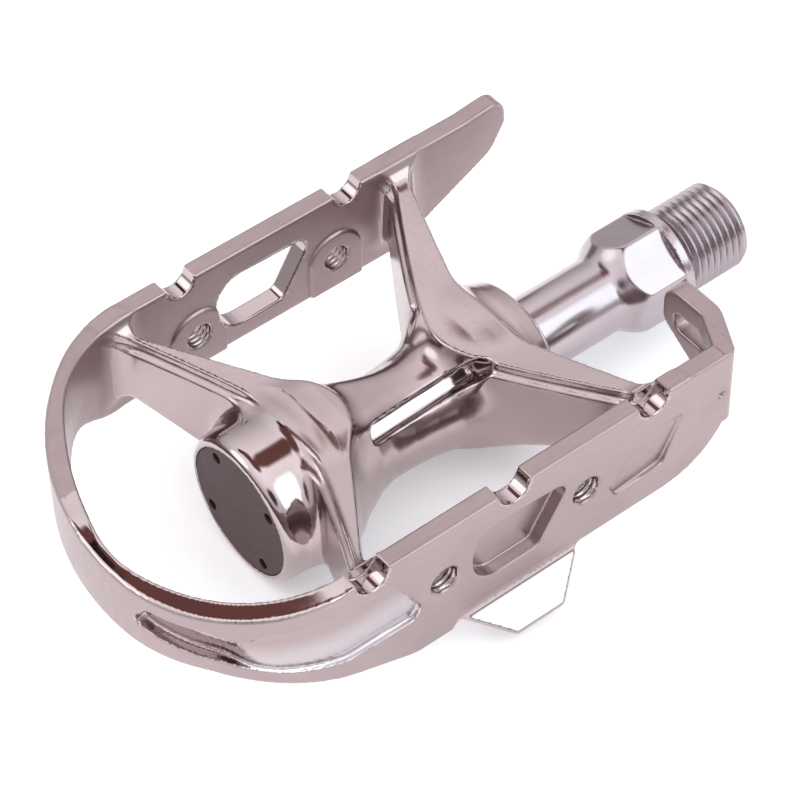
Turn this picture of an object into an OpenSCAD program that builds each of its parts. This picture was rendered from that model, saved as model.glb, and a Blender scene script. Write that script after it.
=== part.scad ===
// One-piece alloy quill pedal for toe clips and straps, left side, with cup-and-cone ball bearings.
// Frame: origin on the spindle axis, at the shoulder that seats on the crank. +X points to the crank,
// +Y to the toe, +Z up. Everything turns about the X axis. Millimetres.

/* [Cage] */
// Half the width over the two plates
cage_half_w = 32; // [30:0.5:36]
// Thickness of the plates and of the nose band
plate_t = 3; // [2.6:0.1:3.4]
// Height of the plates' top edge above the spindle axis
plate_top = 16; // [15.5:0.1:17]
// Height of the front plate's bottom edge
front_bottom = -2.2; // [-3:0.1:-2]
// Height of the rear plate's bottom edge
rear_bottom = -4.8; // [-5.4:0.1:-4.4]
// Radius of the notches across the front plate's top edge
front_notch_r = 2.6; // [2.3:0.1:2.9]
// Radius of the notches across the rear plate's top edge
rear_notch_r = 3; // [2.5:0.1:3.2]
// Depth of the blind recess in the middle of the rear plate
rear_pocket_depth = 2.2; // [1.8:0.1:2.4]

/* [Nose band] */
// Radius where the front plate turns into the nose
nose_front_r = 22; // [20:0.5:24]
// Angle of that turn
nose_front_turn = 37; // [35:0.5:39]
// Radius of the long middle stretch of the nose
nose_middle_r = 42; // [38:0.5:44]
// Angle of the middle stretch
nose_middle_turn = 59; // [57:0.5:61]

/* [Clip holes] */
// Distance between the two tapped holes of a plate
hole_spacing = 25.75; // [24:0.25:27]
// Radius of a tapped hole, M5
hole_r = 2.1; // [2:0.05:2.5]
// Height of the front plate's holes
front_hole_z = 3.7; // [3.2:0.1:4.2]
// Height of the rear plate's holes
rear_hole_z = 5.5; // [5:0.1:6]

/* [Barrel] */
// Radius of the barrel at the dust cap
barrel_r = 12.2; // [11.9:0.1:12.8]
// Radius of the barrel's waist
waist_r = 7.8; // [7.6:0.1:8.4]
// Radius of the bearing housing beside the crank
housing_r = 12; // [11.8:0.1:12.6]

/* [Bearings] */
// Diameter of a bearing ball, 5/32 inch
ball_d = 3.969; // [3.9:0.001:3.97]
// Number of balls beside the crank
inner_balls = 12; // [8:1:12]
// Number of balls at the dust cap
outer_balls = 10; // [7:1:10]
// Radius of the circle through the inner balls' centres
inner_pitch_r = 7.8; // [7.8:0.05:7.9]
// Radius of the circle through the outer balls' centres
outer_pitch_r = 6.6; // [6.6:0.05:6.7]

/* [Spindle] */
// Radius of the bare shaft between the seal and the wrench hexagon
shaft_r = 6.2; // [6:0.05:6.25]
// Distance across the flats of the wrench hexagon
hex_af = 15; // [14.5:0.5:15.5]
// Radius of the shoulder that seats on the crank
shoulder_r = 8.6; // [8.4:0.1:9]
// Radius of the 9/16 inch x 20 left-hand thread
thread_r = 7.14; // [7.1:0.01:7.15]
// Length of the threaded end, from the shoulder
thread_length = 12.6; // [12:0.1:13]

/* [Hidden] */
$fn = 64;
ball_r = ball_d / 2;
race_r = ball_r + 0.05;      // running clearance between the balls and the races
slip = 0.02;                 // gap of a thread or a key that mates inside one body
shaft_gap = 0.32;            // gap between the seal and the turning shaft
inner_x = -34;               // plane of the inner balls
outer_x = -66.6;             // plane of the outer balls
barrel_end = -80.1;          // outboard rim of the barrel
housing_end = -29.3;         // inboard rim of the housing
cap_r = 10.5;
inner_cup_r = 10.4;
outer_cup_r = 9.4;
tunnel_r = 5.9;              // bore between the two cups
collar_r = 7;                // the spindle's own inner race
core_r = 5.0;
end_r = 3.5;                 // M7 thread for the cone and the lock nut
spindle_tip = -77.6;
shoulder_t = 1.6;
hex_turn = 6;                // the hexagon's turn about the axis in the pose drawn
front_mid = -53.2;           // middle of the front plate's hole pair
front_window_x = -52.7;
rear_mid = -54.95;           // middle of the rear plate's hole pair
rear_window_x = -53.3;
pad_h = 0.6;                 // height of the pads around the front holes
front_notches = [-68.3, -37.5];
rear_notches = [-80.3, -55.3, -29.8];
recess_depth = 1.2;
outer_arm_x = -79.5;         // where the outboard arms meet the plates
inner_arm_x = -29;           // where the inboard arms meet the plates
strap_x = -13.4;             // outboard face of the strap guide
strap_tip_y = -15.5;
guide_root_x = -16;          // where the rear plate starts to turn into the guide
tongue_tip = -6.7;
tab_slope = 47;
tab_t = 1.8;
tab_reach = 6.8;

function ball_names(prefix, count) =
    [for (i = [1:count]) str(prefix, i < 10 ? "_0" : "_", i)];
inner_names = ball_names("inner_ball", inner_balls);
outer_names = ball_names("outer_ball", outer_balls);

// ---- shared shapes -------------------------------------------------------------------------

function arc(centre, r, a0, a1, n = 10) =
    [for (i = [0:n]) let (a = a0 + (a1 - a0) * i / n) centre + r * [cos(a), sin(a)]];

// A closed outline whose corners [x, y, r] are rounded to radius r.
function unit(v) = v / norm(v);
function turned(a, b) = a[0] * b[1] - a[1] * b[0];
function corner(p, q, s, r, n = 6) =
    let (u = unit(p - q), v = unit(s - q),
         half = acos(u * v) / 2,
         centre = q + unit(u + v) * r / sin(half),
         t0 = q + u * r / tan(half) - centre,
         t1 = q + v * r / tan(half) - centre,
         a0 = atan2(t0[1], t0[0]),
         raw = atan2(t1[1], t1[0]) - a0,
         sweep = raw > 180 ? raw - 360 : raw < -180 ? raw + 360 : raw)
    [for (i = [0:n]) centre + r * [cos(a0 + sweep * i / n), sin(a0 + sweep * i / n)]];
function rounded(points) =
    let (m = len(points), xy = [for (p = points) [p[0], p[1]]])
    [for (i = [0:m - 1])
        each points[i][2] == 0 ? [xy[i]]
            : corner(xy[(i + m - 1) % m], xy[i], xy[(i + 1) % m], points[i][2])];

// Turns a profile of [radius, x] points about the spindle axis.
module turn_about_x(profile) {
    rotate([0, 90, 0]) rotate_extrude() polygon(profile);
}

// A plain disc or rod about the spindle axis, from x0 to x1.
module rod(r, x0, x1) {
    translate([x0, 0, 0]) rotate([0, 90, 0]) cylinder(r = r, h = x1 - x0);
}

// A hexagon about the spindle axis, across the flats af.
module hexagon(af, x0, x1, turn = 0) {
    translate([x0, 0, 0]) rotate([turn, 0, 0]) rotate([0, 90, 0])
        cylinder(r = af / 2 / cos(30), h = x1 - x0, $fn = 6);
}

// Extrudes an x-z outline along y, from y0 to y1.
module along_y(y0, y1) {
    translate([0, y1, 0]) rotate([90, 0, 0]) linear_extrude(height = y1 - y0) children();
}

// ---- cage casting ---------------------------------------------------------------------------

// Plan path of the nose, from the front plate round to the rear plate, moved in by inset.
function heading(h) = [cos(h - 90), sin(h - 90)];
h1 = 180 + nose_front_turn;
h2 = h1 + nose_middle_turn;
nose_c1 = [-77.35, cage_half_w - nose_front_r];
nose_c2 = nose_c1 + (nose_front_r - nose_middle_r) * heading(h1);
nose_p2 = nose_c2 + nose_middle_r * heading(h2);
nose_rear_r = (nose_p2[1] + cage_half_w) / (1 + sin(h2 - 90));
nose_c3 = nose_p2 - nose_rear_r * heading(h2);
function nose(inset) = concat(
    arc(nose_c1, nose_front_r - inset, 90, h1 - 90),
    arc(nose_c2, nose_middle_r - inset, h1 - 89, h2 - 91, 14),
    arc(nose_c3, nose_rear_r - inset, h2 - 90, 270, 14));

module cage_plan() {
    outer = nose(0);
    inner = nose(plate_t);
    count = len(inner);
    polygon(concat([[0, cage_half_w]], outer, [[guide_root_x, -cage_half_w],
        [guide_root_x, plate_t - cage_half_w]],
        [for (i = [count - 1:-1:0]) inner[i]], [[0, cage_half_w - plate_t]]));
}

module front_side() {
    polygon(rounded([[-109, plate_top, 0], [-109, 4.2, 0], [-91, 3.8, 6], [-83, front_bottom, 8],
        [-28, front_bottom, 12], [-9.5, 7.2, 5], [tongue_tip, 12, 3], [tongue_tip - 0.4, 16.8, 2.4],
        [-15, plate_top, 0]]));
}

module rear_side() {
    polygon(rounded([[-109, plate_top, 0], [-109, 4.3, 0], [-102, 4, 5], [-73, -6.7, 10],
        [-66.5, -6.7, 1], [-65, rear_bottom, 1], [-14, rear_bottom, 13], [-14, plate_top, 0]]));
}

// The window in the middle of a plate: round outboard end, slanted inboard end.
module plate_window(x, z) {
    polygon(rounded([[x - 9.6, z + 5.4, 4.6], [x + 8.6, z + 5, 1.9], [x + 2.4, z - 5, 1.5],
        [x - 9.6, z - 5.2, 4.9]]));
}

// The long scooped recess outside the nose, round the outboard rear corner.
module nose_recess() {
    floor_line = nose(recess_depth);
    intersection() {
        linear_extrude(height = plate_top) polygon(concat(
            [[-70, -cage_half_w - 1], [-108, -cage_half_w - 1], [-108, 0]],
            [for (p = floor_line) if (p[1] < 0) p],
            [[-70, recess_depth - cage_half_w]]));
        along_y(-40, -8) polygon(rounded([[-106.9, 13.2, 2.2], [-104, 12.6, 3], [-99, 10.6, 6],
            [-86, 12.2, 8], [-80, 12.2, 5], [-71.8, 5.4, 2], [-73, 1.2, 1.5], [-86, 1.9, 8],
            [-98, 6.4, 12], [-107.2, 8.7, 1.5]]));
    }
}

// A shallow dished recess in the rear plate's outer face, deepest at its lower inboard edge.
module rear_recess() {
    translate([-31, 0.4 - cage_half_w, 4.5]) rotate([3.5, 0, 5]) along_y(-2, 0)
        polygon(rounded([[-7, -1.2, 0.8], [-5.6, -4, 1], [3.6, -3.4, 1.5], [7, 4.8, 0.8], [0, 6, 2]]));
}

module notches(xs, r, y) {
    for (x = xs) translate([x, y, plate_top]) rotate([90, 0, 0])
        cylinder(r = r, h = 8, center = true);
}

module cage() {
    difference() {
        intersection() {
            linear_extrude(height = 60, center = true) cage_plan();
            along_y(0, 40) front_side();
        }
        notches(front_notches, front_notch_r, cage_half_w);
    }
    difference() {
        intersection() {
            linear_extrude(height = 60, center = true) cage_plan();
            along_y(-40, 0) rear_side();
        }
        nose_recess();
        rear_recess();
        along_y(-40, rear_pocket_depth - cage_half_w) plate_window(rear_window_x, 5.4);
        notches(rear_notches, rear_notch_r, -cage_half_w);
    }
}

// Pads around the front holes, on the plate's inner face, down to its bottom edge.
module front_pads() {
    pad_r = 4.9;
    for (side = [-1, 1]) translate([front_mid + side * hole_spacing / 2, 0, 0])
        along_y(cage_half_w - plate_t - pad_h, cage_half_w - 1) {
            translate([0, front_hole_z]) circle(r = pad_r);
            translate([-pad_r, front_bottom]) square([2 * pad_r, front_hole_z - front_bottom]);
        }
}

// A plate's two tapped holes, with the edge broken by bevel on both faces of a wall of this half
// thickness.
module tapped_holes(middle, z, y, half_wall, bevel) {
    for (side = [-1, 1]) translate([middle + side * hole_spacing / 2, y, z]) rotate([90, 0, 0]) {
        cylinder(r = hole_r, h = 10, center = true);
        for (end = [0, 180]) rotate([end, 0, 0]) translate([0, 0, half_wall - bevel])
            cylinder(r1 = hole_r, r2 = hole_r + bevel + 1, h = bevel + 1);
    }
}

// The rear plate's inboard end bends forward in two turns and carries the toe strap's slot.
module strap_guide() {
    face_x = strap_x + plate_t;
    inner_y = plate_t - cage_half_w;
    difference() {
        intersection() {
            linear_extrude(height = plate_top) polygon(rounded([
                [guide_root_x - 0.3, -cage_half_w, 0], [-14.4, -cage_half_w, 1.8],
                [face_x, -24.3, 5], [face_x, strap_tip_y + 1, 0], [strap_x, strap_tip_y + 1, 0],
                [strap_x, -25.4, 0], [-15.3, inner_y, 0], [guide_root_x - 0.3, inner_y, 0]]));
            translate([-20, 0, 0]) rotate([90, 0, 90]) linear_extrude(height = 12)
                polygon(rounded([[-34, plate_top + 1, 0], [-34, 1.3, 0], [-28.5, 1.6, 4],
                    [-22, 4.4, 12], [strap_tip_y, 8.8, 2.5], [strap_tip_y, plate_top, 3],
                    [-20, plate_top, 0], [-20, plate_top + 1, 0]]));
        }
        translate([-18, 0, 0]) rotate([90, 0, 90]) linear_extrude(height = 10)
            polygon(rounded([[-28, 12, 1.5], [-28, 8.7, 1.5], [-18, 8.7, 1.5], [-18, 12, 1.5]]));
    }
}

// The tab that the toe flips the pedal over with.
module flip_tab() {
    root = 1.6;
    translate([0, -cage_half_w, rear_bottom]) rotate([180 + tab_slope, 0, 0])
        linear_extrude(height = tab_t)
            polygon(rounded([[-67, -root, 0], [-43.4, -root, 0], [-44.4, 1.2, 1.5],
                [-49.6, tab_reach, 1.8], [-58.2, tab_reach, 1.2], [-64.6, 0.6, 4]]));
}

// Outer profile of the barrel: wide at both bearings, waisted between them.
function blend(a, b, t) = a + (b - a) * (1 - cos(180 * t)) / 2;
function barrel_profile(n = 10) = concat(
    [[0, barrel_end], [barrel_r - 1, barrel_end], [barrel_r - 0.3, barrel_end + 0.5],
     [barrel_r, barrel_end + 3]],
    [for (i = [0:n]) [blend(barrel_r, waist_r, i / n), -66 + 10 * i / n]],
    [for (i = [0:n]) [blend(waist_r, housing_r, i / n), -50 + 13 * i / n]],
    [[housing_r, housing_end - 2], [housing_r - 1, housing_end], [0, housing_end]]);

// One blade-like arm, from the barrel to a plate.
module arm(x_barrel, x_plate, side) {
    hull() {
        translate([x_barrel, side * 3, -5.5]) cylinder(r = 3.4, h = 15.5, $fn = 24);
        translate([(x_barrel + 3 * x_plate) / 4, side * 22, 1]) cylinder(r = 2, h = 12, $fn = 24);
        translate([x_plate - 2, side * (cage_half_w - plate_t) - 0.5, 2]) cube([4, 1, 11.2]);
    }
}

module barrel_bores() {
    turn_about_x([[0, barrel_end - 1], [cap_r + 0.1, barrel_end - 1], [cap_r + 0.1, -78.2],
        [9.95, -78.2], [9.95, -75.2], [outer_cup_r, -75.2], [outer_cup_r, -63], [tunnel_r, -63],
        [tunnel_r, -37.6], [inner_cup_r, -37.6], [inner_cup_r, housing_end + 1],
        [0, housing_end + 1]]);
}

module body() {
    front_half_wall = (plate_t + pad_h) / 2;
    color([0.76, 0.70, 0.69]) difference() {
        union() {
            cage();
            front_pads();
            strap_guide();
            flip_tab();
            turn_about_x(barrel_profile());
            for (side = [-1, 1]) {
                arm(-66, outer_arm_x, side);
                arm(-44, inner_arm_x, side);
            }
        }
        barrel_bores();
        along_y(25, 40) plate_window(front_window_x, 6.1);
        tapped_holes(front_mid, front_hole_z, cage_half_w - front_half_wall, front_half_wall, 0.3);
        tapped_holes(rear_mid, rear_hole_z, plate_t / 2 - cage_half_w, plate_t / 2, 0.7);
    }
}

// ---- bearings and covers --------------------------------------------------------------------

module inner_cup() {
    color([0.55, 0.54, 0.55]) turn_about_x(concat(
        [[tunnel_r, -37.6], [inner_cup_r, -37.6], [inner_cup_r, -32.4],
         [inner_pitch_r + race_r, -32.4]],
        [for (a = [0:10:90]) [inner_pitch_r + race_r * cos(a), inner_x - race_r * sin(a)]],
        [[tunnel_r, inner_x - race_r]]));
}

module outer_cup() {
    color([0.55, 0.54, 0.55]) turn_about_x(concat(
        [[outer_pitch_r + race_r, -68.2], [outer_cup_r, -68.2], [outer_cup_r, -63],
         [core_r + 0.4, -63], [core_r + 0.4, outer_x + race_r]],
        [for (a = [90:-10:0]) [outer_pitch_r + race_r * cos(a), outer_x + race_r * sin(a)]]));
}

// The cap has a skirt that screws into the barrel and four blind holes for a pin wrench.
module dust_cap() {
    face = -80;
    color([0.34, 0.28, 0.28]) difference() {
        turn_about_x([[0, face], [cap_r - 0.4, face], [cap_r, face + 0.4], [cap_r, -78.3],
            [9.9, -78.3], [9.9, -75.4], [8.7, -75.4], [8.7, -78.3], [0, -78.3]]);
        for (a = [-35:90:235]) rotate([a, 0, 0]) translate([face - 1, 0, 8.7])
            rotate([0, 90, 0]) cylinder(r = 0.9, h = 2.3);
    }
}

module dust_seal() {
    color([0.5, 0.47, 0.47]) turn_about_x([[shaft_r + shaft_gap, -30.7], [inner_cup_r, -30.7],
        [inner_cup_r, -29.4], [8.65, -29.4], [8.65, -28.1], [8.3, -27.8],
        [shaft_r + shaft_gap, -27.8]]);
}

module ball(plane_x, pitch_r, count, i) {
    color([0.8, 0.8, 0.82]) rotate([360 * i / count, 0, 0]) translate([plane_x, 0, pitch_r])
        sphere(r = ball_r, $fn = 48);
}

// ---- spindle and its fastenings -------------------------------------------------------------

// The inner race is ground on the spindle, and the flats of the wrench hexagon cut its flare.
module spindle() {
    flare = [for (i = [0:8]) [blend(shaft_r, shoulder_r, i / 8), -13 + 5.5 * i / 8]];
    race = [for (a = [0:10:60])
        [inner_pitch_r - race_r * cos(a), inner_x + race_r * sin(a)]];
    color([0.52, 0.50, 0.52]) difference() {
        union() {
            intersection() {
                turn_about_x(concat([[0, -20]], [[shaft_r, -20]], flare,
                    [[shoulder_r, -shoulder_t], [0, -shoulder_t]]));
                union() {
                    rod(shoulder_r, -21, -13);
                    hexagon(hex_af, -13, -shoulder_t, hex_turn);
                }
            }
            turn_about_x(concat([[0, spindle_tip], [end_r - 0.5, spindle_tip],
                [end_r, spindle_tip + 0.5], [end_r, -65.4], [4.2, -64.8], [core_r, -40],
                [core_r + 0.4, -36.4]], race,
                [[collar_r, -31.9], [collar_r, -31.3], [shaft_r, -31.2], [shaft_r, -19.5],
                 [0, -19.5]]));
            rod(shoulder_r, -shoulder_t, 0);
            rod(thread_r, -0.5, thread_length);
        }
        // keyway for the lock washer's tang
        translate([spindle_tip - 1, -0.9, 2.7]) cube([12, 1.8, 2]);
        // blind centre hole in the crank end
        rod(1.5, thread_length - 3, thread_length + 1);
    }
}

module outer_cone() {
    color([0.55, 0.54, 0.55]) difference() {
        union() {
            turn_about_x(concat([[0, -70.4], [6, -70.4], [6, outer_x - 1.94]],
                [for (a = [70:-10:0]) [outer_pitch_r - race_r * cos(a), outer_x - race_r * sin(a)]],
                [[4.5, -65.5], [0, -65.5]]));
            hexagon(11, -72, -70.3);
        }
        rod(end_r + slip, -73, -65);
    }
}

module lock_washer() {
    tang_r = 2.9;
    color([0.62, 0.61, 0.62]) {
        difference() {
            rod(5.8, -73.2, -72.03);
            rod(end_r + slip, -74, -71);
        }
        translate([-73.2, -0.8, tang_r]) cube([1.17, 1.6, 1.2]);
    }
}

module lock_nut() {
    color([0.62, 0.61, 0.62]) difference() {
        intersection() {
            hexagon(10, -76.9, -73.23);
            turn_about_x([[0, -76.9], [5, -76.9], [5.8, -76.4], [5.8, -73.23], [0, -73.23]]);
        }
        rod(end_r + slip, -78, -72);
    }
}

body();
inner_cup();
outer_cup();
dust_cap();
dust_seal();
spindle();
outer_cone();
lock_washer();
lock_nut();
for (i = [0:inner_balls - 1])
    ball(inner_x, inner_pitch_r, inner_balls, i);
for (i = [0:outer_balls - 1])
    ball(outer_x, outer_pitch_r, outer_balls, i);
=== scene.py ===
"""Looks of a left-hand quill pedal: the cage casting, the threaded spindle, the cap and the seal.

The casting and the turned parts are modelled here in millimetres, in the CAD frame: origin on the
spindle axis at the crank shoulder, +X to the crank, +Y to the toe, +Z up.
"""
import math

import bmesh
import bpy
import numpy as np
from mathutils import Matrix, Vector


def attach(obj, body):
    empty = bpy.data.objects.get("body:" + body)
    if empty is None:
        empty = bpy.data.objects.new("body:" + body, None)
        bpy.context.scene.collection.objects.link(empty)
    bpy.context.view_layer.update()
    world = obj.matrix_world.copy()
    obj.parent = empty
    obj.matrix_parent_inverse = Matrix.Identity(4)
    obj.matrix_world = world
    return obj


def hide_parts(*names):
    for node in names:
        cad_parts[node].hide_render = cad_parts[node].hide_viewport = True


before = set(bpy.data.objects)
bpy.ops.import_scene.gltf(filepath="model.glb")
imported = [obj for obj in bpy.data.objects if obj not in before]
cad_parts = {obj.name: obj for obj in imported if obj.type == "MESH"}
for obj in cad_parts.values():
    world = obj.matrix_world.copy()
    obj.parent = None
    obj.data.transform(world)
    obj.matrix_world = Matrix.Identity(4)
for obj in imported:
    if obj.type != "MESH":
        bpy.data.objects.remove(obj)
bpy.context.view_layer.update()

MM = 0.001

# ---- driving sizes, in millimetres, as in the CAD model but for the rear notches' radius ------------

CAGE_HALF_W = 32.0
PLATE_T = 3.0
PLATE_TOP = 16.0
FRONT_BOTTOM = -2.2
REAR_BOTTOM = -4.8
# Places along a plate and radius of the notches across its top edge
FRONT_NOTCHES = ((-68.3, -37.5), 2.6)
REAR_NOTCHES = ((-80.3, -55.3, -29.8), 2.8)
REAR_POCKET_DEPTH = 2.2
NOSE_START_X = -77.35
NOSE_RADII = (22.0, 42.0)
NOSE_TURNS = (37.0, 59.0)
HOLE_SPACING = 25.75
HOLE_R = 2.1
FRONT_HOLES = (-53.2, 3.7)
PAD_H = 0.6
REAR_HOLES = (-54.95, 5.5)
GUIDE_X = -10.4
GUIDE_TIP_Y = -15.5
TAB_SLOPE = math.radians(47)
TAB_T = 1.8
CAP_FACE_X = -80.0
SHAFT_R = 6.2
SHOULDER_R = 8.6
HEX_AF = 15.0
HEX_TURN = 6.0
THREAD_R = 7.14
THREAD_PITCH = 1.27
THREAD_LENGTH = 12.6
# Ends of the barrel along the spindle
BARREL_ENDS = (-80.1, -29.3)
# Size of a meshing cell: for the closing renders and for quick tries
CASTING_STEP = (0.43, 1.0)
SPINDLE_STEP = (0.3, 0.5)
CAP_STEP = (0.3, 0.6)
CASTING_TRIANGLES = 188000
# Material slots of the casting
SATIN, POLISHED, MIRROR, TAPPED, SCOOP = range(5)


# ---- signed distance helpers ---------------------------------------------------------------------

def smin(a, b, k):
    """Union of two fields with a fillet of about size k."""
    h = np.clip(0.5 + 0.5 * (b - a) / k, 0, 1)
    return b + (a - b) * h - k * h * (1 - h)


def smax(a, b, k):
    """Intersection of two fields with the edge broken by about k."""
    return -smin(-a, -b, k)


def cut(a, b, k):
    """Field a with b taken away."""
    return smax(a, -b, k)


def arc(centre, r, a0, a1, step=3.0):
    """Points of an arc, angles in degrees."""
    count = max(2, int(abs(a1 - a0) / step))
    angles = np.radians(np.linspace(a0, a1, count + 1))
    return [(centre[0] + r * math.cos(a), centre[1] + r * math.sin(a)) for a in angles]


def rounded(points, count=8):
    """A closed outline whose corners (x, y, r) are rounded to radius r."""
    out = []
    for i, (x, y, r) in enumerate(points):
        q = np.array((x, y), float)
        if r == 0:
            out.append(tuple(q))
            continue
        u = np.array(points[i - 1][:2], float) - q
        v = np.array(points[(i + 1) % len(points)][:2], float) - q
        u, v = u / np.linalg.norm(u), v / np.linalg.norm(v)
        half = math.acos(np.clip(u @ v, -1, 1)) / 2
        middle = (u + v) / np.linalg.norm(u + v)
        centre = q + middle * r / math.sin(half)
        start, end = q + u * r / math.tan(half) - centre, q + v * r / math.tan(half) - centre
        a0, a1 = math.atan2(start[1], start[0]), math.atan2(end[1], end[0])
        sweep = (a1 - a0 + math.pi) % (2 * math.pi) - math.pi
        for t in np.linspace(0, 1, count + 1):
            a = a0 + sweep * t
            out.append((centre[0] + r * math.cos(a), centre[1] + r * math.sin(a)))
    return out


class Outline:
    """Signed distance to a closed outline, negative inside, sampled on a fine raster."""

    STEP = 0.1
    MARGIN = 5.0

    def __init__(self, points):
        p = np.array(points, float)
        self.low = p.min(0) - self.MARGIN
        high = p.max(0) + self.MARGIN
        n = np.ceil((high - self.low) / self.STEP).astype(int) + 1
        self.n = n
        u = (self.low[0] + self.STEP * np.arange(n[0]))[:, None]
        v = (self.low[1] + self.STEP * np.arange(n[1]))[None, :]
        square = np.full(n, 1e9)
        inside = np.zeros(n, bool)
        for a, b in zip(p, np.roll(p, -1, axis=0)):
            e = b - a
            t = np.clip(((u - a[0]) * e[0] + (v - a[1]) * e[1]) / max(e @ e, 1e-12), 0, 1)
            square = np.minimum(square, (u - a[0] - t * e[0]) ** 2 + (v - a[1] - t * e[1]) ** 2)
            if a[1] != b[1]:
                side = u < a[0] + (v - a[1]) * e[0] / e[1]
                inside ^= ((v < a[1]) != (v < b[1])) & side
        self.raster = np.where(inside, -1, 1) * np.sqrt(square)

    def __call__(self, u, v):
        fu = (u - self.low[0]) / self.STEP
        fv = (v - self.low[1]) / self.STEP
        cu, cv = np.clip(fu, 0, self.n[0] - 1.001), np.clip(fv, 0, self.n[1] - 1.001)
        beyond = np.hypot(fu - cu, fv - cv) * self.STEP
        i, j = cu.astype(int), cv.astype(int)
        s, t = cu - i, cv - j
        g = self.raster
        low = g[i, j] * (1 - s) + g[i + 1, j] * s
        high = g[i, j + 1] * (1 - s) + g[i + 1, j + 1] * s
        return low * (1 - t) + high * t + beyond


# ---- outlines of the cage --------------------------------------------------------------------------

def nose_path():
    """Plan path of the nose's outer wall, from the front plate round to the rear plate."""
    def heading(degrees):
        a = math.radians(degrees - 90)
        return np.array((math.cos(a), math.sin(a)))

    r1, r2 = NOSE_RADII
    h1 = 180 + NOSE_TURNS[0]
    h2 = h1 + NOSE_TURNS[1]
    c1 = np.array((NOSE_START_X, CAGE_HALF_W - r1))
    c2 = c1 + (r1 - r2) * heading(h1)
    end = c2 + r2 * heading(h2)
    r3 = (end[1] + CAGE_HALF_W) / (1 + math.sin(math.radians(h2 - 90)))
    c3 = end - r3 * heading(h2)
    path = arc(c1, r1, 90, h1 - 90) + arc(c2, r2, h1 - 90, h2 - 90)[1:] + arc(c3, r3, h2 - 90, 270)[1:]
    return path, c3, r3


NOSE, REAR_TURN, REAR_TURN_R = nose_path()


def along_wall(x, y):
    """Distance along the rear plate and the nose, from where the plate starts to turn."""
    dx, dy = x - REAR_TURN[0], REAR_TURN[1] - y
    return np.where(dx > 0, dx, REAR_TURN_R * np.arctan2(dx, np.maximum(dy, 1e-6)))


FRONT_PLAN = Outline([(25, CAGE_HALF_W)] + NOSE + [(25, -CAGE_HALF_W)])
REAR_PLAN = Outline(NOSE + rounded([
    (-40, -CAGE_HALF_W, 0), (-14.4, -CAGE_HALF_W, 1.8), (GUIDE_X, -24.3, 5), (GUIDE_X, 0, 0)])
    + [(GUIDE_X, CAGE_HALF_W)])
FRONT_SIDE = Outline(rounded([
    (-115, PLATE_TOP, 0), (-115, 4.2, 0), (-91, 3.8, 6), (-83, FRONT_BOTTOM, 8), (-28, FRONT_BOTTOM, 12),
    (-9.5, 7.2, 5), (-6.7, 12, 3), (-7.1, 16.8, 2.4), (-15, PLATE_TOP, 0)]))
REAR_SIDE = Outline(rounded([
    (-115, PLATE_TOP, 0), (-115, 4.3, 0), (-102, 4, 5), (-73, -6.7, 10), (-66.5, -6.7, 1),
    (-65, REAR_BOTTOM, 1), (-14, REAR_BOTTOM, 13), (-14, PLATE_TOP, 0)]))
GUIDE_SIDE = Outline(rounded([
    (-34, PLATE_TOP, 0), (-34, 1.3, 0), (-28.5, 1.6, 4), (-22, 4.4, 12), (GUIDE_TIP_Y, 8.8, 2.5),
    (GUIDE_TIP_Y, PLATE_TOP, 3)]))
GUIDE_SLOT = Outline(rounded([(-28, 12.1, 1.5), (-28, 8.7, 1.5), (-18, 8.7, 1.5), (-18, 12.1, 1.5)]))
WINDOW = rounded([(-9.6, 5.4, 4.6), (8.6, 5, 1.9), (2.4, -5, 1.5), (-9.6, -5.2, 4.9)])
FRONT_WINDOW = Outline([(x - 52.7, z + 6.1) for x, z in WINDOW])
REAR_WINDOW = Outline([(x - 53.3, z + 5.4) for x, z in WINDOW])
# The recess round the nose, as distance along the wall and height
NOSE_RECESS = Outline(rounded([
    (-33.4, 9.3, 1.2), (-30.6, 12.8, 1.6), (-21.8, 12.4, 5), (-16.5, 10.6, 2), (-14, 12.2, 2),
    (5.4, 12.2, 2), (11.1, 3.2, 1.6), (9.7, 1.1, 1.0), (-2, 1.5, 8), (-12, 3.8, 12), (-20, 6.5, 10),
    (-32.2, 8.4, 1.0)]))
REAR_RECESS = Outline(rounded([
    (-38, 3.3, 0.8), (-36.6, 0.5, 1), (-27.4, 1.1, 1.5), (-24, 9.3, 0.8), (-31, 10.5, 2)]))
TAB = Outline(rounded([
    (-67, -1.6, 0), (-43.4, -1.6, 0), (-44.4, 1.2, 1.5), (-49.6, 6.8, 1.8), (-58.2, 6.8, 1.2),
    (-64.6, 0.6, 4)]))

# Barrel radius along the axis, from the dust cap to the seal
BARREL = np.array([
    (-80.1, 11.3), (-79.4, 11.8), (-78.6, 12.1), (-77.5, 12.2), (-70, 12.3), (-66.5, 11.6), (-63, 10.0),
    (-60, 8.5), (-57, 7.7), (-53, 7.7), (-49, 8.0), (-45, 8.6), (-42, 9.7), (-39.5, 11.1), (-37, 11.7),
    (-32.2, 11.8), (-31.2, 11.6), (-30, 11.3), (-29.3, 11.15)])


def barrel_radius(x):
    """The barrel's profile, smoothed between its points."""
    fine = np.linspace(-84, -26, 581)
    r = np.interp(fine, BARREL[:, 0], BARREL[:, 1])
    kernel = np.hanning(13)
    smooth = np.convolve(np.pad(r, 6, mode="edge"), kernel / kernel.sum(), "valid")
    return np.interp(x, fine, smooth)


# ---- the casting as one field ------------------------------------------------------------------------

def smooth_abs(y, bend):
    """The distance from the mid-plane, with its corner at y = 0 rounded."""
    return np.sqrt(y * y + bend * bend) - bend


def swept_edge(y, x0, slope, bend):
    """An arm's edge in plan: level at the barrel, then straight at slope."""
    return x0 + slope * smooth_abs(y, bend)


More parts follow.
